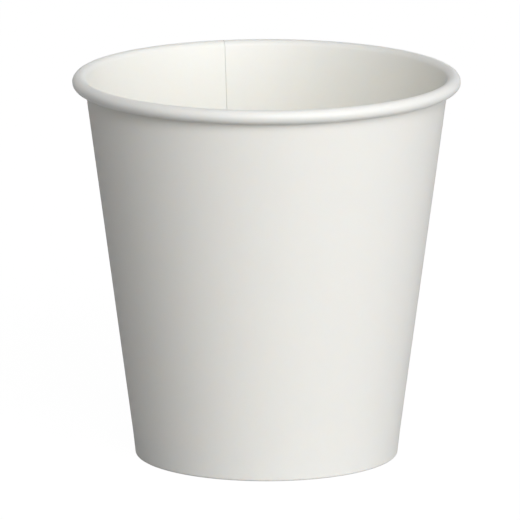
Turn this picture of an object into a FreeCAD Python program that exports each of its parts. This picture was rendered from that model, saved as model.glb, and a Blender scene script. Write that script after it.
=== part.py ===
import FreeCAD, Part
import enum
import math
import os

import Sketcher

# A paper coffee cup in two pieces of board, standing on its foot at the origin with +Z up. The sidewall is
# one fan-shaped blank: its ends lap in a seam, its top edge is rolled outward into the rim and its bottom
# edge is folded up inside as the hem. The bottom disc's turned-down skirt is held between wall and hem.

# Millimetres and degrees.
SIZES = {
    "rim_diameter": 80.0,
    "cup_height": 79.6,
    "foot_diameter": 54.2,
    "heel_angle": 6.6,
    "wall_board": 0.35,
    "roll_radius": 1.42,
    "roll_gap": 0.1,
    "roll_flats": 8,
    "foot_flat": 0.24,
    "hem_height": 4.8,
    "disc_board": 0.3,
    "disc_bend": 0.8,
    "fold_flats": 2,
    "skirt_rise": 0.7,
    "glue_gap": 0.02,
    "seam_azimuth": 103.5,
    "lap_angle": 10.5,
    "joggle_angle": 1.2,
    "lap_start": 0.9,
    "band_overlap": 1.1,
    "knurl_count": 48,
    "knurl_width": 1.2,
    "knurl_depth": 0.12,
    "knurl_start": 0.9,
    "knurl_margin": 0.5,
}

# Expressions in the sheet's names. Depths are measured inward from the heel's outer face.
FOOT_RADIUS = "sizes.foot_diameter / 2"
LEAN = "(sizes.heel_angle * 1 deg)"
SKIRT_DEPTH = "(sizes.wall_board + sizes.glue_gap)"
HEM_DEPTH = "(sizes.wall_board + sizes.disc_board + 2 * sizes.glue_gap)"
HEM_FACE_DEPTH = "(2 * sizes.wall_board + sizes.disc_board + 2 * sizes.glue_gap)"
BAND_HEIGHT = "(sizes.lap_start + sizes.band_overlap)"
BEND_HEIGHT = "(sizes.hem_height + sizes.skirt_rise)"
DISC_TOP = "(sizes.hem_height + sizes.skirt_rise + sizes.disc_bend)"
KNURL_TOP = "(sizes.hem_height - sizes.knurl_margin)"

# A sketch's own level axis, whose start is the origin, and its upright axis.
Axis = enum.IntEnum("Axis", "UPRIGHT LEVEL", start=-2)
ORIGIN = Axis.LEVEL

Spot = enum.IntEnum("Spot", "START END CENTRE")
START, END, CENTRE = Spot.START, Spot.END, Spot.CENTRE


def make_sheet(document):
    """Write the driving sizes into a spreadsheet, each under its own alias."""
    sheet = document.addObject("Spreadsheet::Sheet", "sizes")
    for row, (name, value) in enumerate(SIZES.items(), start=1):
        sheet.set(f"A{row}", name)
        sheet.set(f"B{row}", str(value))
        sheet.setAlias(f"B{row}", name)
    document.recompute()


def origin_part(body, role):
    """Find one of the body's own origin planes or axes."""
    return next(part for part in body.Origin.OriginFeatures if part.Role == role)


def point(across, up):
    """A point of a sketch."""
    return FreeCAD.Vector(across, up, 0)


def ring_point(centre, radius, angle):
    """The point of a circle at an angle in radians."""
    return centre + point(radius * math.cos(angle), radius * math.sin(angle))


class Drawing:
    """A sketch on one of its body's origin planes.

    Geometry is drawn close to its place and then held there by constraints that follow the sheet.
    """

    def __init__(self, body, name, plane):
        self.sketch = body.newObject("Sketcher::SketchObject", name)
        self.sketch.AttachmentSupport = (origin_part(body, plane), [""])
        self.sketch.MapMode = "FlatFace"

    def value(self, expression):
        """Work out an expression in the sheet's names."""
        return float(self.sketch.evalExpression(expression))

    def line(self, start, end, construction=False):
        """Draw a line between two points."""
        return self.sketch.addGeometry(Part.LineSegment(start, end), construction)

    def bend(self, centre, radius, first, last, flats):
        """Draw a bend of the board as equal flats on a construction arc, counterclockwise between two angles.

        They stay within a twelfth of a millimetre of the arc and keep the model light.
        """
        circle = Part.Circle(centre, FreeCAD.Vector(0, 0, 1), radius)
        arc = self.sketch.addGeometry(Part.ArcOfCircle(circle, first, last), True)
        count = round(self.value(flats))
        step = (last - first) / count
        corners = [ring_point(centre, radius, first + step * i) for i in range(count + 1)]
        lines = [self.line(a, b) for a, b in zip(corners, corners[1:])]
        self.chain(*lines)
        self.hold("Coincident", lines[0], START, arc, START)
        self.hold("Coincident", lines[-1], END, arc, END)
        for line in lines[1:]:
            self.hold("PointOnObject", line, START, arc)
            self.hold("Equal", line, lines[0])
        return arc

    def hold(self, kind, *where):
        """Add a constraint that has no size."""
        self.sketch.addConstraint(Sketcher.Constraint(kind, *where))

    def bind(self, expression, kind, *where):
        """Add a constraint whose size follows an expression."""
        constraint = Sketcher.Constraint(kind, *where, self.value(expression))
        index = self.sketch.addConstraint(constraint)
        self.sketch.setExpression(f"Constraints[{index}]", expression)

    def chain(self, *lines):
        """Join the end of each line to the start of the next."""
        for before, after in zip(lines, lines[1:]):
            self.hold("Coincident", before, END, after, START)

    def level(self, line, height):
        """Keep a line level at a height."""
        self.hold("Horizontal", line)
        self.bind(height, "DistanceY", ORIGIN, START, line, START)

    def offset(self, line, reference, depth):
        """Keep a line parallel to a reference and a depth away, on the side where it was drawn."""
        self.hold("Parallel", line, reference)
        self.bind(depth, "Distance", line, START, reference)


class Section(Drawing):
    """A sketch in the half plane at an azimuth: across is the distance from the cup's axis and up the height.

    It starts from the heel's outer face, the straight foot of the wall, from which depths are measured.
    """

    def __init__(self, body, name, azimuth="0"):
        super().__init__(body, name, "XZ_Plane")
        turn = FreeCAD.Rotation(FreeCAD.Vector(0, 1, 0), self.value(azimuth))
        self.sketch.AttachmentOffset = FreeCAD.Placement(FreeCAD.Vector(), turn)
        self.sketch.setExpression("AttachmentOffset.Rotation.Angle", azimuth)
        self.heel = self.draw_heel()

    def draw_heel(self):
        """Draw the heel's outer face, from the ground to the hem's height, as a construction line."""
        heel = self.line(self.heel_point("0", "0"), self.heel_point("sizes.hem_height", "0"), True)
        self.bind(FOOT_RADIUS, "DistanceX", ORIGIN, START, heel, START)
        self.hold("PointOnObject", heel, START, ORIGIN)
        kink = f"{FOOT_RADIUS} + sizes.hem_height * tan{LEAN}"
        self.bind(kink, "DistanceX", ORIGIN, START, heel, END)
        self.bind("sizes.hem_height", "DistanceY", ORIGIN, START, heel, END)
        return heel

    def heel_point(self, height, depth):
        """The point at a height that lies a depth inside the heel's outer face."""
        across = self.value(f"{FOOT_RADIUS} + {height} * tan{LEAN} - {depth} / cos{LEAN}")
        return point(across, self.value(height))


def draw_hem(body):
    """Section of the closed lower band: the heel's foot, the fold under it and the hem that stands inside."""
    section = Section(body, "hem_section")
    at = section.heel_point
    turn = (section.value(HEM_FACE_DEPTH) - section.value("sizes.foot_flat")) / 2
    outer_centre = at("0", "0") + point(-turn, turn)
    inner_centre = at("0", HEM_FACE_DEPTH) + point(turn, turn)
    quarter = math.pi / 2

    outer = section.line(at(BAND_HEIGHT, "0"), at("sizes.wall_board", "0"))
    outer_fold = section.bend(outer_centre, turn, -quarter, 0, "sizes.fold_flats")
    ground = section.line(outer_centre - point(0, turn), inner_centre - point(0, turn))
    inner_fold = section.bend(inner_centre, turn, 2 * quarter, 3 * quarter, "sizes.fold_flats")
    hem_face = section.line(at("sizes.wall_board", HEM_FACE_DEPTH), at("sizes.hem_height", HEM_FACE_DEPTH))
    hem_edge = section.line(at("sizes.hem_height", HEM_FACE_DEPTH), at("sizes.hem_height", HEM_DEPTH))
    hem_back = section.line(at("sizes.hem_height", HEM_DEPTH), at("sizes.wall_board", HEM_DEPTH))
    floor = section.line(at("sizes.wall_board", HEM_DEPTH), at("sizes.wall_board", "sizes.wall_board"))
    inner = section.line(at("sizes.wall_board", "sizes.wall_board"), at(BAND_HEIGHT, "sizes.wall_board"))
    band_edge = section.line(at(BAND_HEIGHT, "sizes.wall_board"), at(BAND_HEIGHT, "0"))

    section.hold("Tangent", outer, END, outer_fold, END)
    section.hold("Tangent", outer_fold, START, ground, START)
    section.hold("Tangent", ground, END, inner_fold, END)
    section.hold("Tangent", inner_fold, START, hem_face, START)
    section.chain(hem_face, hem_edge, hem_back, floor, inner, band_edge, outer)
    section.hold("PointOnObject", outer, START, section.heel)
    section.hold("PointOnObject", outer, END, section.heel)
    section.offset(inner, section.heel, "sizes.wall_board")
    section.offset(hem_back, section.heel, HEM_DEPTH)
    section.offset(hem_face, section.heel, HEM_FACE_DEPTH)
    section.hold("PointOnObject", ground, START, ORIGIN)
    section.hold("Horizontal", ground)
    section.hold("Equal", outer_fold, inner_fold)
    section.bind("sizes.foot_flat", "Distance", ground)
    section.level(floor, "sizes.wall_board")
    section.level(hem_edge, "sizes.hem_height")
    section.level(band_edge, BAND_HEIGHT)
    return section.sketch


def draw_wall(body, name, azimuth, lapped):
    """Section of the wall and its roll, from the start of the lap to the roll's raw edge.

    The board and its lapped end share one face, the wall's outer one: the board lies inside it and the lapped
    end outside. In the roll the lapped end is the inner turn, and the board's edge stays clear of it.
    """
    section = Section(body, name, azimuth)
    at = section.heel_point
    shared_round = "sizes.roll_radius - sizes.wall_board"
    other_round = "sizes.roll_radius - 2 * sizes.wall_board" if lapped else "sizes.roll_radius"
    other_depth = "(-sizes.wall_board)" if lapped else "sizes.wall_board"
    edge_gap = "sizes.roll_gap" if lapped else "sizes.roll_gap + sizes.wall_board"

    shared_radius = section.value(shared_round)
    other_radius = section.value(other_round)
    centre = point(section.value("sizes.rim_diameter / 2 - sizes.roll_radius"),
                   section.value("sizes.cup_height - sizes.roll_radius"))
    kink = at("sizes.hem_height", "0")
    reach = centre - kink
    touch = math.atan2(reach.y, reach.x) + math.asin(shared_radius / reach.Length) + math.pi / 2
    own_inner, own_outer = sorted((shared_radius, other_radius))
    tuck = math.acos((own_inner - section.value(edge_gap)) / own_outer)
    first = touch + tuck - 2 * math.pi

    wall = section.line(kink, ring_point(centre, shared_radius, touch))
    roll_face = section.bend(centre, shared_radius, first, touch, "sizes.roll_flats")
    roll_back = section.bend(centre, other_radius, first, touch, "sizes.roll_flats")
    roll_edge = section.line(ring_point(centre, shared_radius, first), ring_point(centre, other_radius, first))
    back = section.line(ring_point(centre, other_radius, touch), at("sizes.hem_height", other_depth))
    back_heel = section.line(at("sizes.hem_height", other_depth), at("sizes.lap_start", other_depth))
    bottom = section.line(at("sizes.lap_start", other_depth), at("sizes.lap_start", "0"))
    front_heel = section.line(at("sizes.lap_start", "0"), kink)

    section.hold("Coincident", wall, START, section.heel, END)
    section.hold("Tangent", wall, END, roll_face, END)
    section.hold("Coincident", roll_face, START, roll_edge, START)
    section.hold("Coincident", roll_edge, END, roll_back, START)
    section.hold("Tangent", roll_back, END, back, START)
    section.chain(back, back_heel, bottom, front_heel, wall)
    section.hold("Coincident", roll_back, CENTRE, roll_face, CENTRE)
    section.hold("PointOnObject", roll_face, CENTRE, roll_edge)
    section.hold("PointOnObject", front_heel, START, section.heel)
    section.hold("Parallel", back, wall)
    section.offset(back_heel, section.heel, "sizes.wall_board")
    section.level(bottom, "sizes.lap_start")
    section.bind("sizes.rim_diameter / 2 - sizes.roll_radius", "DistanceX", ORIGIN, START, roll_face, CENTRE)
    section.bind("sizes.cup_height - sizes.roll_radius", "DistanceY", ORIGIN, START, roll_face, CENTRE)
    section.bind(shared_round, "Radius", roll_face)
    section.bind(other_round, "Radius", roll_back)
    if lapped:
        section.bind(edge_gap, "Distance", roll_edge, START, back)
    else:
        section.bind(edge_gap, "Distance", roll_edge, END, wall)
    return section.sketch


def draw_disc(body):
    """Section of the bottom disc: the flat disc, the bend and the skirt that lies against the wall."""
    section = Section(body, "disc_section")
    at = section.heel_point
    skirt_back_depth = f"({SKIRT_DEPTH} + sizes.disc_board)"
    bend = section.value("sizes.disc_bend")
    inner_bend_radius = section.value("sizes.disc_bend - sizes.disc_board")
    centre = at(BEND_HEIGHT, f"({SKIRT_DEPTH} + sizes.disc_bend)")
    quarter = math.pi / 2

    top = section.line(point(0, centre.y + bend), centre + point(0, bend))
    outer_bend = section.bend(centre, bend, 0, quarter, "sizes.fold_flats")
    skirt = section.line(at(BEND_HEIGHT, SKIRT_DEPTH), at(SKIRT_DEPTH, SKIRT_DEPTH))
    skirt_edge = section.line(at(SKIRT_DEPTH, SKIRT_DEPTH), at(SKIRT_DEPTH, skirt_back_depth))
    skirt_back = section.line(at(SKIRT_DEPTH, skirt_back_depth), at(BEND_HEIGHT, skirt_back_depth))
    inner_bend = section.bend(centre, inner_bend_radius, 0, quarter, "sizes.fold_flats")
    underside = section.line(centre + point(0, inner_bend_radius), point(0, centre.y + inner_bend_radius))
    axis = section.line(point(0, centre.y + inner_bend_radius), point(0, centre.y + bend))

    section.hold("Tangent", top, END, outer_bend, END)
    section.hold("Tangent", outer_bend, START, skirt, START)
    section.chain(skirt, skirt_edge, skirt_back)
    section.hold("Tangent", skirt_back, END, inner_bend, START)
    section.hold("Tangent", inner_bend, END, underside, START)
    section.chain(underside, axis, top)
    section.hold("Coincident", inner_bend, CENTRE, outer_bend, CENTRE)
    section.hold("PointOnObject", axis, START, Axis.UPRIGHT)
    section.hold("Vertical", axis)
    section.offset(skirt, section.heel, SKIRT_DEPTH)
    section.offset(skirt_back, skirt, "sizes.disc_board")
    section.bind("sizes.disc_bend", "Radius", outer_bend)
    section.level(skirt_edge, SKIRT_DEPTH)
    section.hold("Horizontal", underside)
    section.level(top, DISC_TOP)
    return section.sketch


def draw_tooth(body, name, height):
    """The knurling wheel's tooth at a height: a triangle whose tip is sunk into the hem's face."""
    tooth = Drawing(body, name, "XY_Plane")
    tooth.sketch.setExpression("AttachmentOffset.Base.z", height)
    hem_face = f"{FOOT_RADIUS} + {height} * tan{LEAN} - {HEM_FACE_DEPTH} / cos{LEAN}"
    tip_place = f"{hem_face} + sizes.knurl_depth"
    root_place = f"{hem_face} - sizes.knurl_depth"
    width = tooth.value("sizes.knurl_width")
    tip = point(tooth.value(tip_place), 0)
    left = point(tooth.value(root_place), width)
    right = point(tooth.value(root_place), -width)

    flank = tooth.line(tip, left)
    root = tooth.line(left, right)
    other_flank = tooth.line(right, tip)
    tooth.chain(flank, root, other_flank, flank)
    tooth.hold("PointOnObject", flank, START, ORIGIN)
    tooth.hold("Vertical", root)
    tooth.hold("Equal", flank, other_flank)
    tooth.bind(tip_place, "DistanceX", ORIGIN, START, flank, START)
    tooth.bind(root_place, "DistanceX", ORIGIN, START, root, START)
    tooth.bind("2 * sizes.knurl_width", "Distance", root)
    return tooth.sketch


def revolve(body, name, sketch, angle, backward=False):
    """Turn a section about the cup's axis, counterclockwise seen from above unless backward."""
    feature = body.newObject("PartDesign::Revolution", name)
    feature.Profile = sketch
    feature.ReferenceAxis = (sketch, ["V_Axis"])
    feature.setExpression("Angle", angle)
    feature.Reversed = backward


def loft(body, kind, name, first, last):
    """Rule a solid between two sketches, to add it or take it away."""
    body.Document.recompute()
    feature = body.newObject(kind, name)
    feature.Profile = first
    feature.Sections = [last]
    feature.Ruled = True
    body.Document.recompute()
    return feature


def cut_knurl(body):
    """Press a ring of shallow upright grooves into the hem's inner face."""
    low = draw_tooth(body, "knurl_low", "sizes.knurl_start")
    high = draw_tooth(body, "knurl_high", KNURL_TOP)
    groove = loft(body, "PartDesign::SubtractiveLoft", "knurl_groove", low, high)
    ring = body.newObject("PartDesign::PolarPattern", "knurl_ring")
    ring.Originals = [groove]
    ring.Axis = (origin_part(body, "Z_Axis"), [""])
    ring.Angle = 360
    ring.setExpression("Occurrences", "sizes.knurl_count")
    body.Tip = ring


def make_body(document, label):
    """Start a body at the origin, under the name of its piece."""
    body = document.addObject("PartDesign::Body", label)
    body.Label = label
    body.Placement = FreeCAD.Placement()
    return body


def make_sidewall(document):
    """Build the blank: closed band with hem, wall with roll, the joggle over its raw end, and the lap."""
    body = make_body(document, "sidewall")
    revolve(body, "hem_band", draw_hem(body), "360")
    board = draw_wall(body, "wall_section", "sizes.seam_azimuth + sizes.joggle_angle", lapped=False)
    revolve(body, "wall_and_roll", board, "360 - sizes.joggle_angle")
    lap = draw_wall(body, "lap_section", "sizes.seam_azimuth", lapped=True)
    loft(body, "PartDesign::AdditiveLoft", "joggle", board, lap)
    revolve(body, "lap", lap, "sizes.lap_angle", backward=True)
    cut_knurl(body)
    return body


def make_bottom_disc(document):
    """Build the disc with its turned-down skirt."""
    body = make_body(document, "bottom_disc")
    revolve(body, "disc_and_skirt", draw_disc(body), "360")
    return body


def check(document):
    """Stop if any object of the document failed to compute."""
    for item in document.Objects:
        if "Invalid" in item.State or "Error" in item.State:
            raise RuntimeError(f"{item.Name} is {item.State}")


def export(bodies):
    """Write each body to a STEP file under its label."""
    os.makedirs("parts", exist_ok=True)
    for body in bodies:
        if body.Shape.isNull() or not body.Shape.isValid():
            raise RuntimeError(f"{body.Label} has no sound shape")
        body.Shape.exportStep(f"parts/{body.Label}.step")


def main():
    document = FreeCAD.newDocument("paper_coffee_cup")
    make_sheet(document)
    bodies = [make_sidewall(document), make_bottom_disc(document)]
    document.recompute()
    check(document)
    export(bodies)


main()
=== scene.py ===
import math

import bmesh
import bpy
from bpy.props import FloatProperty, FloatVectorProperty, IntProperty, PointerProperty
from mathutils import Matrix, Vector


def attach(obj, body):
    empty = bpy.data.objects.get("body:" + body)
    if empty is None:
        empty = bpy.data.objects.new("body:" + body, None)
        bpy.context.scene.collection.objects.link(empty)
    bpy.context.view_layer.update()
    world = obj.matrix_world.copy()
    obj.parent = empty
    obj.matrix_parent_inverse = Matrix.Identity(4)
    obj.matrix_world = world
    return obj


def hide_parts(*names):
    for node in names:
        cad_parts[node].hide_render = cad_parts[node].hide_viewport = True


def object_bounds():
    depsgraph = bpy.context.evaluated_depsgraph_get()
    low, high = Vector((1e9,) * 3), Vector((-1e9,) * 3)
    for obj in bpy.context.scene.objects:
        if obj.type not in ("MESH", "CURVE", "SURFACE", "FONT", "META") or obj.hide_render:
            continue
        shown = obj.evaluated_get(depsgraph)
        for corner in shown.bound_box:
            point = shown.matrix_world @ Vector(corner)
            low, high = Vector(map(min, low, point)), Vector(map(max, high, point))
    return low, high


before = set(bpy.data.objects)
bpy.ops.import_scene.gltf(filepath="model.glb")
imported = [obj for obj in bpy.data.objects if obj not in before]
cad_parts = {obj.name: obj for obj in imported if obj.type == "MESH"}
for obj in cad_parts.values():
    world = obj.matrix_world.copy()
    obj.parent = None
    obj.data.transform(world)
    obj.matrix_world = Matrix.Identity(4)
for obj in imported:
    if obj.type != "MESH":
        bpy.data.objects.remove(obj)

bl_info = {
    "name": "Paper coffee cup",
    "version": (1, 0, 0),
    "blender": (4, 5, 0),
    "location": "3D View > Sidebar > Paper Cup",
    "description": "Builds a plain paper coffee cup from two pieces of board, and a pale studio around it",
    "category": "Object",
}

# The cup stands on its foot at the origin. Everything is in metres, and azimuths are counterclockwise from +X
# seen from above. The rim's diameter and the cup's height are those of the frame.
MM = 0.001
CAD_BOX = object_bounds()
RIM_RADIUS = min(-CAD_BOX[0][0], -CAD_BOX[0][1], CAD_BOX[1][0], CAD_BOX[1][1])
CUP_HEIGHT = CAD_BOX[1][2]

# The picture in its own pixels: its side, the focal length and how far the cup's axis is from its middle.
# Then the height that camera and lights look at, how far the camera sees and how far the floor goes.
PICTURE_SIZE, FOCAL_LENGTH, AXIS_SHIFT = 520, 9693, -6.55
AIM_HEIGHT = 0.04054
SIGHT, FLOOR_REACH = 20, 4.0

# Red light wanders furthest inside the board, so that what shines through it is warm.
GLOW_REACH = (1.0, 0.92, 0.84)

# The sides of a piece's board, as the places of their finishes in its material slots.
OUTER, INNER, CUT = range(3)

# How finely the board is divided: upward in steps of its section, and around in columns.
HEEL_STEPS, WALL_STEPS, ROLL_STEPS = 4, 12, 25
HEM_STEPS, FOLD_STEPS, SLOT_STEPS, EDGE_STEPS = 14, 6, 3, 2
COLUMN = math.radians(0.5)
FINE_COLUMN = COLUMN / 10
DISC_COLUMNS, DISC_RINGS = 480, 24
SKIRT_STEPS, BEND_STEPS, UNDER_BEND_STEPS = 8, 12, 8

# Faces that meet at a wider angle than this show a sharp edge.
SHARP_EDGE = math.radians(32)

# Sizes of the clouds, fibres and grain in the face of the board, and of what a cut edge shows.
CLOUD_SIZE, FIBRE_SIZE, GRAIN_SIZE = 5.5 * MM, 0.42 * MM, 0.16 * MM
CUT_FIBRE_SIZE, CUT_PATCH_SIZE = 0.12 * MM, 1.1 * MM

# How densely the fibres lie along X, Y and Z. Where that is small they are long: up the wall, across the disc.
WALL_FIBRES, DISC_FIBRES = (1, 1, 0.3), (1, 0.4, 1)
WHITE = (1, 1, 1, 1)

# The waves in which the board wanders: share, waves around, radians in a metre of height, and phase.
# Cut edges have the waves of a height past the cup. The wall has none at the hem, and all of them WAVE_RISE
# higher.
WAVES = ((1.0, 3, 60, 0.7), (0.6, 5, -95, 2.1), (0.4, 11, 140, 4.0))
EDGE_HEIGHT = 0.2
WAVE_RISE = 12 * MM

# How much sooner the roll's raw edge ends at most, as an angle of the roll.
ROLL_SLACK = 0.06

# The pleats drift from their even places, by this angle of their own wave and so many times around.
PLEAT_DRIFT, PLEAT_DRIFTS = 2, 5

# The grooves of the knurl: half of their width in parts of their pitch, how far over the ground they start,
# how far under the top of the hem they end, and the height in which they fade.
GROOVE_REACH = 1 / 3
KNURL_START, KNURL_END, KNURL_FADE = 0.7 * MM, 0.4 * MM, 0.4 * MM


def length(name, description, millimetres):
    """A size that a user would change."""
    return FloatProperty(
        name=name, description=description, default=millimetres * MM, unit="LENGTH", precision=5)


def angle(name, description, degrees):
    """An angle that a user would change."""
    return FloatProperty(name=name, description=description, default=math.radians(degrees), subtype="ANGLE")


def colour(name, description, value):
    """A colour that a user would change."""
    return FloatVectorProperty(
        name=name, description=description, default=value, subtype="COLOR", min=0, max=1)


class SidewallSizes(bpy.types.PropertyGroup):
    """Sizes of the fan-shaped blank that makes the wall, the rim's roll and the hem."""

    board: length("Board", "Thickness of the wall's board", 0.35)
    foot_radius: length("Foot radius", "Radius of the heel's outer face at the ground", 27.1)
    heel_angle: angle("Heel angle", "Lean of the heel, the straight foot of the wall", 6.6)
    hem_height: length("Hem height", "Height of the hem and of the heel", 4.8)
    hem_depth: length("Hem depth", "Depth of the hem's hidden face inside the heel's outer face", 0.69)
    foot_flat: length("Foot flat", "Width of the ring that the cup stands on", 0.24)
    roll_radius: length("Roll radius", "Radius of the rim's roll", 1.42)
    roll_gap: length("Roll gap", "Gap that the roll's raw edge keeps from the lap", 0.1)
    seam: angle("Seam azimuth", "Azimuth of the raw edge inside the lap seam", 103.5)
    lap: angle("Lap", "Angle that the outer flap covers", 10.5)
    joggle: angle("Joggle", "Angle in which the board steps out over its own raw edge", 1.2)
    crease: angle("Crease", "Angle that the dip beside the raw edge takes on the inside", 0.27)
    crease_depth: length("Crease depth", "Depth of the dip beside the raw edge", 0.13)
    lap_start: length("Lap start", "Height at which the outer flap starts", 0.9)
    film: length("Film", "Clear coating between the two layers of the lap", 0.015)
    knurls: IntProperty(name="Knurls", description="Upright grooves pressed into the hem", default=144)
    knurl_depth: length("Knurl depth", "Depth of the grooves in the hem", 0.12)
    waver: length("Waver", "How far the wall and its edges wander", 0.03)


class DiscSizes(bpy.types.PropertyGroup):
    """Sizes of the bottom disc and its turned-down skirt."""

    board: length("Board", "Thickness of the disc's board", 0.3)
    depth: length("Skirt depth", "Depth of the skirt's outer face inside the heel's outer face", 0.37)
    rise: length("Skirt rise", "Height of the bend's centre over the top of the hem", 0.7)
    bend: length("Bend", "Outer radius of the bend between disc and skirt", 0.8)
    pleats: IntProperty(name="Pleats", description="Faint pleats around the bend", default=84)
    pleat_depth: length("Pleat depth", "Depth of the pleats", 0.025)
    sag: length("Sag", "How far the middle of the disc sinks", 0.12)


class BoardLook(bpy.types.PropertyGroup):
    """Colours of the board."""

    outside: colour("Outside", "Bare white board", (0.912, 0.907, 0.868))
    inside: colour("Inside", "Board under its thin clear coating", (0.982, 0.962, 0.882))
    edge: colour("Cut edge", "Raw fibres of a cut edge", (0.80, 0.785, 0.735))
    glow: length("Glow", "How far light wanders inside the board", 0.2)


class StageLook(bpy.types.PropertyGroup):
    """The studio around the cup."""

    front_level: FloatProperty(
        name="Front", description="Power of the front light", default=15.8, unit="POWER")
    front_azimuth: angle("Front azimuth", "Azimuth of the front light, over the camera", -75)
    front_elevation: angle("Front elevation", "Height of the front light", 30)
    side_level: FloatProperty(
        name="Side", description="Power of the side light", default=10.4, unit="POWER")
    side_azimuth: angle("Side azimuth", "Azimuth of the side light, right of the camera", -45)
    side_elevation: angle("Side elevation", "Height of the side light", 14)
    light_size: length("Light size", "Side of the two soft lights", 900)
    light_distance: length("Light distance", "Distance from the lights to the middle of the cup", 1800)
    room_level: FloatProperty(name="Room", description="Strength of the light from all around", default=0.297)
    floor: colour("Floor", "Colour of the floor", (0.4, 0.4, 0.4))
    floor_shadow: FloatProperty(
        name="Floor shadow", description="How much of the floor's own light and shadow is seen", default=0.15,
        subtype="FACTOR", min=0, max=1)
    floor_white: FloatProperty(
        name="Floor white", description="Strength of the white that is seen in the rest of the floor",
        default=1.145)
    camera_elevation: angle("Camera elevation", "Angle at which the camera looks down", 12.06)
    camera_distance: length("Camera distance", "Distance from the camera to the middle of the cup", 2000)


class PaperCup(bpy.types.PropertyGroup):
    """All that can be changed about the cup and its studio."""

    sidewall: PointerProperty(type=SidewallSizes)
    disc: PointerProperty(type=DiscSizes)
    board: PointerProperty(type=BoardLook)
    stage: PointerProperty(type=StageLook)


class Reading:
    """An output socket on which Python's operators add Math nodes."""

    def __init__(self, finish, socket):
        self.finish = finish
        self.socket = socket

    def math(self, operation, *terms):
        return self.finish.add("ShaderNodeMath", {"operation": operation}, dict(enumerate(terms)))

    def __add__(self, other):
        return self.math("ADD", self, other)

    __radd__ = __add__

    def __sub__(self, other):
        return self.math("SUBTRACT", self, other)

    def __rsub__(self, other):
        return self.math("SUBTRACT", other, self)

    def __mul__(self, other):
        return self.math("MULTIPLY", self, other)

    __rmul__ = __mul__

    def either(self, other):
        """The greater of two readings."""
        return self.math("MAXIMUM", self, other)

    def mixed(self, other, share):
        """A reading that is another one by a share and this one for the rest."""
        return (1 - share) * self + share * other

    def around(self, middle, spread):
        """A number to both sides of its middle, from a reading that goes from 0 to 1."""
        return middle + spread * (self - 0.5)


class Finish:
    """A node tree, of a material or the world, that is written by adding one node after another."""

    def __init__(self, owner):
        owner.use_nodes = True
        self.owner = owner
        self.tree = owner.node_tree
        self.tree.nodes.clear()

    def add(self, kind, settings=None, sockets=None, output=0):
        """Add a node: its settings first, then the numbers or readings of its sockets."""
        node = self.tree.nodes.new(kind)
        for name, value in (settings or {}).items():
            setattr(node, name, value)
        for name, value in (sockets or {}).items():
            if isinstance(value, Reading):
                self.tree.links.new(value.socket, node.inputs[name])
            else:
                node.inputs[name].default_value = value
        return Reading(self, node.outputs[output]) if node.outputs else None

    def noise(self, place, size, detail=2.0, roughness=0.5):
        """Noise whose patches have about the given size, from 0 to 1."""
        return self.add("ShaderNodeTexNoise", {"noise_dimensions": "3D"},
                        {"Vector": place, "Scale": 1 / size, "Detail": detail, "Roughness": roughness})

    def blend(self, amount, first, second):
        """A colour that goes from the first to the second as the amount goes from 0 to 1."""
        factor, a, b, result = 0, 6, 7, 2
        return self.add("ShaderNodeMix", {"data_type": "RGBA", "clamp_factor": True},
                        {factor: amount, a: first, b: second}, result)

    def between(self, amount, first, second):
        """A surface that goes from the first to the second as the amount goes from 0 to 1."""
        factor, a, b = 0, 1, 2
        return self.add("ShaderNodeMixShader", None, {factor: amount, a: first, b: second})

    def close(self, surface, kind="ShaderNodeOutputMaterial"):
        """Lead the surface to the output."""
        self.add(kind, None, {"Surface": surface})
        return self.owner


def shaded(rgb, share):
    """A colour as four numbers, with each of its parts brought to a share of what it was."""
    return tuple(part * share for part in rgb) + (1.0,)


def board_finish(name, rgb, stretch, glow, roughness, relief, mottle):
    """White board: cloudy formation, fibres that lie along the stretch and a fine uneven face."""
    finish = Finish(bpy.data.materials.new(name))
    place = finish.add("ShaderNodeTexCoord", output="Object")
    lay = finish.add("ShaderNodeMapping", {"vector_type": "POINT"}, {"Vector": place, "Scale": stretch})
    clouds = finish.noise(place, CLOUD_SIZE, detail=3)
    fibres = finish.noise(lay, FIBRE_SIZE, detail=3, roughness=0.6)
    grain = finish.noise(place, GRAIN_SIZE, detail=1)
    tone = clouds.mixed(fibres, share=0.5)
    base = finish.blend(tone, shaded(rgb, 1 - mottle), shaded(rgb, 1 + mottle))
    height = fibres.mixed(grain, share=0.3)
    bump = finish.add("ShaderNodeBump", None,
                      {"Strength": 0.5, "Distance": relief, "Height": height}, "Normal")
    surface = finish.add("ShaderNodeBsdfPrincipled", None, {
        "Base Color": base, "Roughness": fibres.around(roughness, spread=0.14), "Normal": bump, "IOR": 1.5,
        "Subsurface Weight": 1.0, "Subsurface Radius": GLOW_REACH, "Subsurface Scale": glow})
    return finish.close(surface)


def cut_finish(name, rgb, roughness=0.9, relief=0.05 * MM, mottle=0.07):
    """The raw edge of cut board: loose fibres in thin layers."""
    finish = Finish(bpy.data.materials.new(name))
    place = finish.add("ShaderNodeTexCoord", output="Object")
    fibres = finish.noise(place, CUT_FIBRE_SIZE, detail=3, roughness=0.7)
    patches = finish.noise(place, CUT_PATCH_SIZE)
    tone = fibres.mixed(patches, share=0.4)
    base = finish.blend(tone, shaded(rgb, 1 - mottle), shaded(rgb, 1 + mottle))
    bump = finish.add("ShaderNodeBump", None,
                      {"Strength": 0.6, "Distance": relief, "Height": fibres}, "Normal")
    surface = finish.add("ShaderNodeBsdfPrincipled", None, {
        "Base Color": base, "Roughness": fibres.around(roughness, spread=0.1), "Normal": bump})
    return finish.close(surface)


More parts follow.
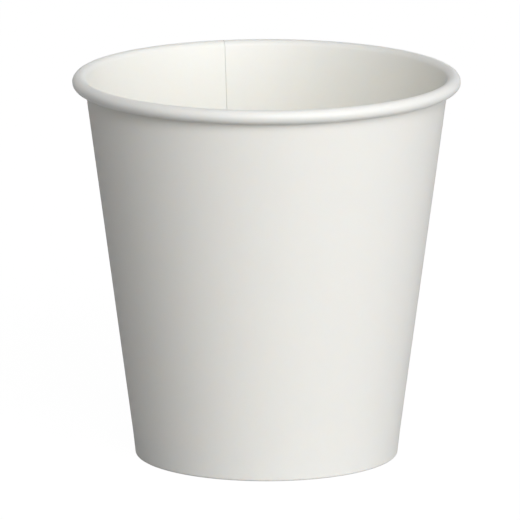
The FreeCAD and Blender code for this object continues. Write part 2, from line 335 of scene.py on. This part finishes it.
def board_finishes(piece, look, stretch):
    """The finishes of a piece's board in the order of its sides."""
    bare = board_finish(f"{piece}_bare_board", look.outside, stretch, look.glow,
                        roughness=0.78, relief=0.03 * MM, mottle=0.012)
    coated = board_finish(f"{piece}_coated_board", look.inside, stretch, look.glow,
                          roughness=0.46, relief=0.018 * MM, mottle=0.009)
    return [bare, coated, cut_finish(f"{piece}_cut_edge", look.edge)]


def waver(azimuth, height, reach):
    """How far the board wanders inward at a place, from 0 to the reach."""
    total = sum(wave[0] for wave in WAVES)
    waves = sum(share * math.sin(around * azimuth + upward * height + phase)
                for share, around, upward, phase in WAVES)
    return reach * (total + waves) / (2 * total)


def roll_slack(azimuth):
    """How much sooner the roll's raw edge ends at an azimuth."""
    return ROLL_SLACK * waver(azimuth, EDGE_HEIGHT, 1)


def smooth(amount):
    """Ease a number from 0 to 1, level at both ends."""
    amount = min(max(amount, 0.0), 1.0)
    return amount * amount * (3 - 2 * amount)


def bearing(angle):
    """A vector of length 1 at an angle in a section."""
    return Vector((math.cos(angle), math.sin(angle)))


class Outline:
    """The outline of a section of board: its points, the side after each, and which are the wall's."""

    def __init__(self):
        self.points = []
        self.sides = []
        self.wall = None

    def follow(self, points, side):
        """Go through all the points."""
        self.points += points
        self.sides += [side] * len(points)

    def run(self, start, end, steps, side):
        """Go straight from start towards end, without the end itself."""
        self.follow([start.lerp(end, i / steps) for i in range(steps)], side)

    def turn(self, centre, radius, first, last, steps, side):
        """Go round a bend from the first angle towards the last."""
        angles = [first + (last - first) * i / steps for i in range(steps)]
        self.follow([centre + radius * bearing(angle) for angle in angles], side)


class Heel:
    """The straight foot of the wall, from whose outer face the depths of all layers are measured."""

    def __init__(self, wall):
        self.radius = wall.foot_radius
        self.top = wall.hem_height
        self.angle = wall.heel_angle
        self.outward = bearing(-self.angle)

    def at(self, height, depth):
        """The point at a height and a depth inside the outer face."""
        slope, lean = math.tan(self.angle), math.cos(self.angle)
        return Vector((self.radius + height * slope - depth / lean, height))


class Wall:
    """The wall over the heel, and its roll. Touch is the angle of the roll at which they meet."""

    def __init__(self, wall):
        self.sizes = wall
        self.heel = Heel(wall)
        self.kink = self.heel.at(wall.hem_height, 0)
        self.centre = Vector((RIM_RADIUS - wall.roll_radius, CUP_HEIGHT - wall.roll_radius))
        reach = self.centre - self.kink
        self.roll = wall.roll_radius - wall.board
        self.touch = math.atan2(reach.y, reach.x) + math.asin(self.roll / reach.length) + math.pi / 2
        self.outward = -bearing(self.touch)

    def kink_at(self, depth):
        """The corner between heel and wall at a depth inside the outer face."""
        normal = self.heel.outward
        return self.kink - (normal + self.outward) * depth / (1 + normal.dot(self.outward))

    def roll_end(self, radius, slack):
        """The angle at which a roll of the given radius ends, short of the wall."""
        wall = self.sizes
        tuck = math.acos((wall.roll_radius - 2 * wall.board - wall.roll_gap) / radius)
        return self.touch + tuck - 2 * math.pi + slack

    def draw_wall(self, outline, outer_depth, inner_depth, slack):
        """Go up the outer face, round the roll, over its raw edge and back down the inner face."""
        wall = self.sizes
        tight = self.roll + outer_depth
        wide = self.roll + inner_depth
        end = self.roll_end(wide, slack)
        arm = bearing(self.touch)
        tip = bearing(end)
        first = len(outline.points)
        outline.run(self.heel.at(wall.lap_start, outer_depth), self.kink_at(outer_depth), HEEL_STEPS, OUTER)
        outline.run(self.kink_at(outer_depth), self.centre + arm * tight, WALL_STEPS, OUTER)
        outline.turn(self.centre, tight, self.touch, end, ROLL_STEPS, OUTER)
        outline.run(self.centre + tip * tight, self.centre + tip * wide, EDGE_STEPS, CUT)
        outline.turn(self.centre, wide, end, self.touch, ROLL_STEPS, INNER)
        outline.run(self.centre + arm * wide, self.kink_at(inner_depth), WALL_STEPS, INNER)
        outline.run(self.kink_at(inner_depth), self.heel.at(wall.lap_start, inner_depth), HEEL_STEPS, INNER)
        outline.wall = slice(first, len(outline.points) + 1)


def draw_slot(outline, wall, top):
    """Go down the inner face of the heel and along the floor of the slot that takes the disc's skirt."""
    sizes = wall.sizes
    board = sizes.board
    outline.run(wall.heel.at(top, board), wall.heel.at(board, board), SLOT_STEPS, INNER)
    outline.run(wall.heel.at(board, board), wall.heel.at(board, sizes.hem_depth), EDGE_STEPS, INNER)


def draw_hem(outline, wall, azimuth):
    """Go up the hem's back, over its cut edge, down its face and round the fold under the foot."""
    sizes = wall.sizes
    heel = wall.heel
    face_depth = sizes.hem_depth + sizes.board
    turn = (face_depth - sizes.foot_flat) / 2
    top = sizes.hem_height - waver(azimuth, EDGE_HEIGHT, 2 * sizes.waver)
    inner = heel.at(turn, face_depth) + turn * heel.outward
    outer = heel.at(turn, 0) - turn * heel.outward
    inner.y = outer.y = turn
    down = Vector((0, turn))
    outline.run(heel.at(sizes.board, sizes.hem_depth), heel.at(top, sizes.hem_depth), SLOT_STEPS, INNER)
    outline.run(heel.at(top, sizes.hem_depth), heel.at(top, face_depth), EDGE_STEPS, CUT)
    outline.run(heel.at(top, face_depth), inner - turn * heel.outward, HEM_STEPS, OUTER)
    outline.turn(inner, turn, math.pi - heel.angle, 1.5 * math.pi, FOLD_STEPS, OUTER)
    outline.run(inner - down, outer - down, EDGE_STEPS, OUTER)
    outline.turn(outer, turn, -math.pi / 2, -heel.angle, FOLD_STEPS, OUTER)
    return outer + turn * heel.outward


def board_section(wall, azimuth):
    """The whole board: hem and fold, up the heel and the wall, round the roll and down inside."""
    outline = Outline()
    foot = draw_hem(outline, wall, azimuth)
    start = wall.sizes.lap_start
    outline.run(foot, wall.heel.at(start, 0), EDGE_STEPS, OUTER)
    wall.draw_wall(outline, 0, wall.sizes.board, roll_slack(azimuth))
    draw_slot(outline, wall, start)
    return outline


def band_section(wall, azimuth):
    """The band that closes the hem and the fold under the joggle, up to where the flap starts."""
    outline = Outline()
    foot = draw_hem(outline, wall, azimuth)
    top = wall.sizes.lap_start
    outline.run(foot, wall.heel.at(top, 0), EDGE_STEPS, OUTER)
    outline.run(wall.heel.at(top, 0), wall.heel.at(top, wall.sizes.board), 1, CUT)
    draw_slot(outline, wall, top)
    return outline


def lap_section(wall, azimuth):
    """The board where it steps out over its own raw edge and lies on the wall as the outer flap."""
    sizes = wall.sizes
    past = azimuth - sizes.seam
    shift = sizes.board + sizes.film
    out = shift * (1 - smooth(past / sizes.joggle))
    dip = shift if past <= 0 else sizes.crease_depth * (1 - smooth(past / sizes.crease))
    start = sizes.lap_start
    outline = Outline()
    wall.draw_wall(outline, -out, sizes.board - dip, roll_slack(azimuth))
    outline.run(wall.heel.at(start, sizes.board - dip), wall.heel.at(start, -out), 1, CUT)
    return outline


def disc_section(sizes, heel, azimuth):
    """The disc from its middle out, round the bend and down the skirt, and back along the underside."""
    drift = PLEAT_DRIFT * math.sin(PLEAT_DRIFTS * azimuth)
    dent = sizes.pleat_depth * (0.5 + 0.5 * math.sin(sizes.pleats * azimuth + drift))
    centre = heel.at(heel.top + sizes.rise, sizes.depth + sizes.bend)
    inner_bend = sizes.bend - sizes.board
    foot = heel.at(sizes.depth, sizes.depth)
    foot_back = heel.at(sizes.depth, sizes.depth + sizes.board)
    crown = centre + Vector((0, sizes.bend))
    board = Vector((0, sizes.board))
    shares = [ring / DISC_RINGS for ring in range(1, DISC_RINGS)]
    face = [Vector((crown.x * share, crown.y - sizes.sag * (1 - share * share))) for share in shares]
    outline = Outline()
    outline.follow(face, INNER)
    outline.turn(centre, sizes.bend - dent, math.pi / 2, -heel.angle, BEND_STEPS, INNER)
    outline.run(centre + heel.outward * sizes.bend, foot, SKIRT_STEPS, INNER)
    outline.run(foot, foot_back, EDGE_STEPS, CUT)
    outline.run(foot_back, centre + heel.outward * inner_bend, SKIRT_STEPS, OUTER)
    outline.turn(centre, inner_bend, -heel.angle, math.pi / 2, UNDER_BEND_STEPS, OUTER)
    outline.follow([spot - board for spot in [crown] + face[::-1]], OUTER)
    return outline


def knurl(sizes, azimuth, height):
    """Depth of the pressed grooves at a place of the hem's face."""
    turns = azimuth * sizes.knurls / math.tau
    across = abs(turns - round(turns)) / GROOVE_REACH
    low = smooth((height - KNURL_START) / KNURL_FADE)
    high = smooth((sizes.hem_height - KNURL_END - height) / KNURL_FADE)
    return sizes.knurl_depth * max(0.0, 1 - across) * low * high


def place(point, azimuth):
    """A point of a section at its azimuth around the cup."""
    return Vector((point.x * math.cos(azimuth), point.x * math.sin(azimuth), point.y))


def skin(mesh, columns, sides, first=None, last=None):
    """Lay strips of faces from column to column, from and to the rings of corners that are there already."""
    known = {0: first, len(columns) - 1: last}
    rings = [known.get(i) or [mesh.verts.new(spot) for spot in column] for i, column in enumerate(columns)]
    for ring, following in zip(rings, rings[1:]):
        for i, side in enumerate(sides):
            j = (i + 1) % len(sides)
            face = mesh.faces.new((ring[i], following[i], following[j], ring[j]))
            face.material_index = side
    return rings[0], rings[-1]


def cap(mesh, ring):
    """Close a cut end of the wall with faces from its one side to its other."""
    last = len(ring) - 1
    for i in range(last // 2):
        corners = ring[i], ring[i + 1], ring[last - i - 1], ring[last - i]
        mesh.faces.new(dict.fromkeys(corners)).material_index = CUT


def make_piece(name, mesh, finishes):
    """Turn a mesh into a piece of the cup, smooth but for its sharp edges."""
    bmesh.ops.recalc_face_normals(mesh, faces=mesh.faces)
    for face in mesh.faces:
        face.smooth = True
    data = bpy.data.meshes.new(name)
    mesh.to_mesh(data)
    mesh.free()
    data.set_sharp_from_angle(angle=SHARP_EDGE)
    for finish in finishes:
        data.materials.append(finish)
    piece = bpy.data.objects.new(name, data)
    bpy.context.scene.collection.objects.link(piece)
    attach(piece, "root")
    return piece


def wall_column(wall, outline, azimuth):
    """The corners of a section at its azimuth, with the knurl in the hem's face and the wall's waver."""
    sizes = wall.sizes
    column = []
    for spot in outline.points:
        across, height = spot
        on_hem_face = across < wall.heel.at(height, sizes.hem_depth + sizes.board / 2).x
        if on_hem_face and height < sizes.hem_height:
            across += knurl(sizes, azimuth, height)
        rise = smooth((height - sizes.hem_height) / WAVE_RISE)
        across -= rise * waver(azimuth, height, sizes.waver)
        column.append(place(Vector((across, height)), azimuth))
    return column


def steps_between(first, last, step, margin=0.1):
    """Azimuths from first to last, and between them the multiples of the step that keep a margin from both.

    The margin is a part of a step. A nearer multiple would give slivers of faces.
    """
    start = math.floor(first / step + margin) + 1
    end = math.ceil(last / step - margin) - 1
    return [first] + [i * step for i in range(start, end + 1)] + [last]


def sweep_wall(mesh, wall, section, azimuths, first=None, last=None):
    """Sweep a section of the board along its azimuths. Returns the rings of its two ends and the section."""
    outlines = [section(wall, azimuth) for azimuth in azimuths]
    columns = [wall_column(wall, outline, azimuth) for outline, azimuth in zip(outlines, azimuths)]
    ends = skin(mesh, columns, outlines[0].sides, first, last)
    return *ends, outlines[0]


class CUP_OT_sidewall(bpy.types.Operator):
    """Build the sidewall: wall, lap seam, rolled rim and knurled hem, folded from one blank"""

    bl_idname = "paper_cup.sidewall"
    bl_label = "Sidewall"

    def execute(self, context):
        cup = context.scene.paper_cup
        sizes = cup.sidewall
        wall = Wall(sizes)
        joggle_end = sizes.seam + sizes.joggle
        mesh = bmesh.new()
        around = steps_between(joggle_end, sizes.seam + math.tau, COLUMN)
        start, raw_edge, section = sweep_wall(mesh, wall, board_section, around)
        cap(mesh, raw_edge[section.wall])
        joggle = steps_between(sizes.seam, joggle_end, FINE_COLUMN)
        flap = steps_between(sizes.seam - sizes.lap, sizes.seam, COLUMN)
        over = (flap + joggle[1:])[::-1]
        cap(mesh, sweep_wall(mesh, wall, lap_section, over, start[section.wall])[1])
        ends = [ring[:section.wall.start + 1] + ring[section.wall.stop - 1:] for ring in (raw_edge, start)]
        sweep_wall(mesh, wall, band_section, steps_between(sizes.seam, joggle_end, COLUMN), *ends)
        piece = make_piece("board_sidewall", mesh, board_finishes("sidewall", cup.board, WALL_FIBRES))
        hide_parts("sidewall")
        return {"FINISHED"}


class CUP_OT_bottom_disc(bpy.types.Operator):
    """Build the bottom disc with the skirt that is held between wall and hem"""

    bl_idname = "paper_cup.bottom_disc"
    bl_label = "Bottom disc"

    def execute(self, context):
        cup = context.scene.paper_cup
        heel = Heel(cup.sidewall)
        mesh = bmesh.new()
        self.lay(mesh, cup.disc, heel)
        piece = make_piece("board_disc", mesh, board_finishes("disc", cup.board, DISC_FIBRES))
        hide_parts("bottom_disc")
        return {"FINISHED"}

    def lay(self, mesh, sizes, heel):
        """Lay the disc's section around its middle and close both faces there."""
        azimuths = [math.tau * i / DISC_COLUMNS for i in range(DISC_COLUMNS)]
        outlines = [disc_section(sizes, heel, azimuth) for azimuth in azimuths]
        rings = [[mesh.verts.new(place(spot, azimuth)) for spot in outline.points]
                 for outline, azimuth in zip(outlines, azimuths)]
        middle = heel.top + sizes.rise + sizes.bend - sizes.sag
        upper = mesh.verts.new((0, 0, middle))
        lower = mesh.verts.new((0, 0, middle - sizes.board))
        for ring, following in zip(rings, rings[1:] + rings[:1]):
            for i, side in enumerate(outlines[0].sides[:-1]):
                face = mesh.faces.new((ring[i], following[i], following[i + 1], ring[i + 1]))
                face.material_index = side
            mesh.faces.new((upper, following[0], ring[0])).material_index = INNER
            mesh.faces.new((lower, ring[-1], following[-1])).material_index = OUTER


def seen_directly(finish):
    """1 where a ray comes from the camera or by way of gloss or glass, otherwise 0."""
    camera, gloss, glass = [finish.add("ShaderNodeLightPath", output=f"Is {ray} Ray")
                            for ray in ("Camera", "Glossy", "Transmission")]
    return camera.either(gloss).either(glass)


def backdrop_finish(look):
    """A pale floor that is seen as white but for a hint of the cup's shadow."""
    finish = Finish(bpy.data.materials.new("pale_floor"))
    plain = finish.add("ShaderNodeBsdfDiffuse", None, {"Color": (*look.floor, 1)})
    white = finish.add("ShaderNodeEmission", None, {"Color": WHITE, "Strength": look.floor_white})
    amount = seen_directly(finish) * (1 - look.floor_shadow)
    return finish.close(finish.between(amount, plain, white))


def room_light(look):
    """Even light from all around, seen as white."""
    world = bpy.data.worlds.new("pale_room")
    finish = Finish(world)
    even = finish.add("ShaderNodeBackground", None, {"Color": WHITE, "Strength": look.room_level})
    white = finish.add("ShaderNodeBackground", None, {"Color": WHITE, "Strength": 1.0})
    surface = finish.between(seen_directly(finish), even, white)
    return finish.close(surface, "ShaderNodeOutputWorld")


def aimed(name, data, azimuth, elevation, distance, target):
    """Place a light or camera at a distance from a target, looking at it."""
    aim = Vector((math.cos(azimuth) * math.cos(elevation), math.sin(azimuth) * math.cos(elevation),
                  math.sin(elevation)))
    item = bpy.data.objects.new(name, data)
    item.location = target + aim * distance
    item.rotation_euler = aim.to_track_quat("Z", "Y").to_euler()
    bpy.context.scene.collection.objects.link(item)
    return item


class CUP_OT_stage(bpy.types.Operator):
    """Set up the pale floor, the soft studio light and the camera"""

    bl_idname = "paper_cup.stage"
    bl_label = "Stage"

    def execute(self, context):
        look = context.scene.paper_cup.stage
        middle = Vector((0, 0, AIM_HEIGHT))
        self.lay_floor(look)
        context.scene.world = room_light(look)
        for name in ("front", "side"):
            light = bpy.data.lights.new(f"{name}_light", "AREA")
            light.energy = getattr(look, f"{name}_level")
            light.size = look.light_size
            azimuth = getattr(look, f"{name}_azimuth")
            aimed(light.name, light, azimuth, getattr(look, f"{name}_elevation"), look.light_distance, middle)
        camera = bpy.data.cameras.new("camera")
        camera.lens = camera.sensor_width * FOCAL_LENGTH / PICTURE_SIZE
        camera.shift_x = AXIS_SHIFT / PICTURE_SIZE
        camera.clip_end = SIGHT
        view = aimed("camera", camera, -math.pi / 2, look.camera_elevation, look.camera_distance, middle)
        context.scene.camera = view
        context.scene.view_settings.view_transform = "Standard"
        return {"FINISHED"}

    def lay_floor(self, look):
        """A wide level floor under the cup."""
        reach = FLOOR_REACH
        mesh = bmesh.new()
        corners = [(-reach, -reach), (reach, -reach), (reach, reach), (-reach, reach)]
        mesh.faces.new([mesh.verts.new((x, y, 0)) for x, y in corners])
        data = bpy.data.meshes.new("floor")
        mesh.to_mesh(data)
        mesh.free()
        data.materials.append(backdrop_finish(look))
        floor = bpy.data.objects.new("floor", data)
        bpy.context.scene.collection.objects.link(floor)


class CUP_PT_panel(bpy.types.Panel):
    """The cup's sizes, colours and studio"""

    bl_idname = "CUP_PT_panel"
    bl_label = "Paper coffee cup"
    bl_space_type = "VIEW_3D"
    bl_region_type = "UI"
    bl_category = "Paper Cup"

    def draw(self, context):
        cup = context.scene.paper_cup
        for title, group, operator in (
                ("Sidewall", cup.sidewall, CUP_OT_sidewall), ("Bottom disc", cup.disc, CUP_OT_bottom_disc),
                ("Board", cup.board, None), ("Stage", cup.stage, CUP_OT_stage)):
            box = self.layout.box()
            box.label(text=title)
            for name in type(group).__annotations__:
                box.prop(group, name)
            if operator:
                box.operator(operator.bl_idname)


CLASSES = (SidewallSizes, DiscSizes, BoardLook, StageLook, PaperCup,
           CUP_OT_sidewall, CUP_OT_bottom_disc, CUP_OT_stage, CUP_PT_panel)


def register():
    for item in CLASSES:
        bpy.utils.register_class(item)
    bpy.types.Scene.paper_cup = PointerProperty(type=PaperCup)


def unregister():
    del bpy.types.Scene.paper_cup
    for item in reversed(CLASSES):
        bpy.utils.unregister_class(item)


def main():
    register()
    bpy.ops.paper_cup.sidewall()
    bpy.ops.paper_cup.bottom_disc()
    bpy.ops.paper_cup.stage()


if __name__ == "__main__":
    main()
